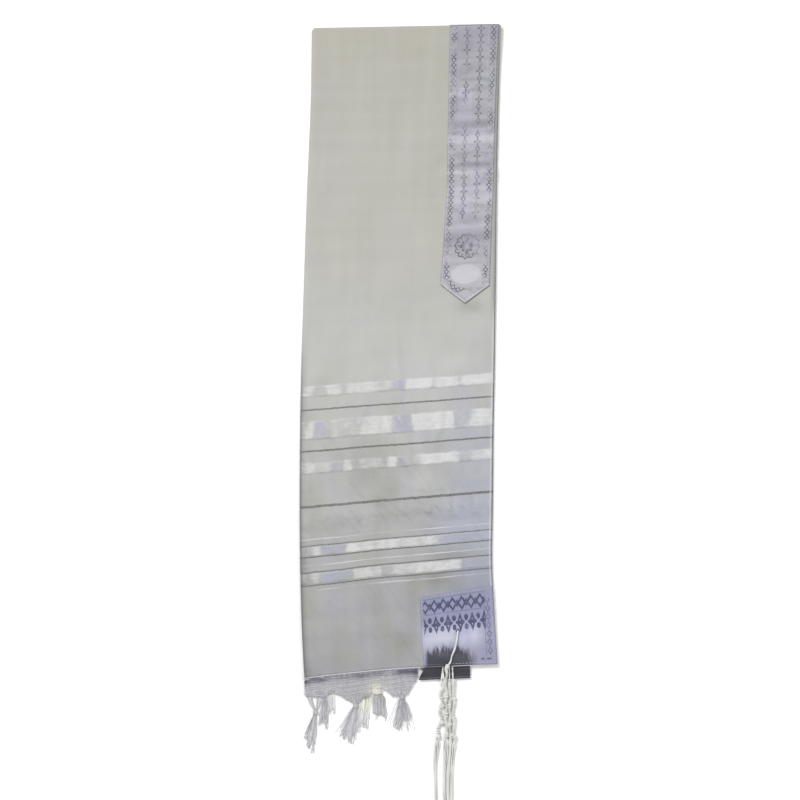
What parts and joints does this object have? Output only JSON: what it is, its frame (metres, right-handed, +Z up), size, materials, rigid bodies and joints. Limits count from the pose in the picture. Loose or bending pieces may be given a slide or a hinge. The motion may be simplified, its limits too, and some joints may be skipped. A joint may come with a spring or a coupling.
{
  "type": "folded tallit prayer shawl",
  "caption": "Prayer shawl folded in four and laid flat: striped cloth with a satin neckband, a corner patch, knotted fringe and corner tassels.",
  "frame": {"origin": "on the flat underside, on the surface that the shawl lies on, near the middle of the folded cloth", "axes": "+Y from the fringed hem towards the top fold, +X from the long fold towards the selvedges, +Z up out of the surface"},
  "size_m": [0.2376, 0.9756, 0.0131],
  "materials": {
    "cloth": "plain woven off-white acrylic and wool blend with satin and silver-grey stripes",
    "satin": "white-lilac satin with woven grey borders",
    "patch_satin": "woven satin, lilac-blue to white with a grey lower zone",
    "dark_patch_satin": "dark grey woven satin",
    "fringe_yarn": "matt twisted warp yarn",
    "tzitzit_cord": "off-white plied wool cord"
  },
  "bodies": {
    "root": {"shawl_front": "cloth", "shawl_folded_layers": "cloth", "neckband": "satin", "corner_patch_front": "patch_satin", "corner_patch_under": "dark_patch_satin", "fringe_front": "fringe_yarn", "fringe_under": "fringe_yarn", "tzitzit_front": "tzitzit_cord", "tzitzit_left": "tzitzit_cord", "tzitzit_middle": "tzitzit_cord", "tzitzit_right": "tzitzit_cord"}
  },
  "joints": []
}
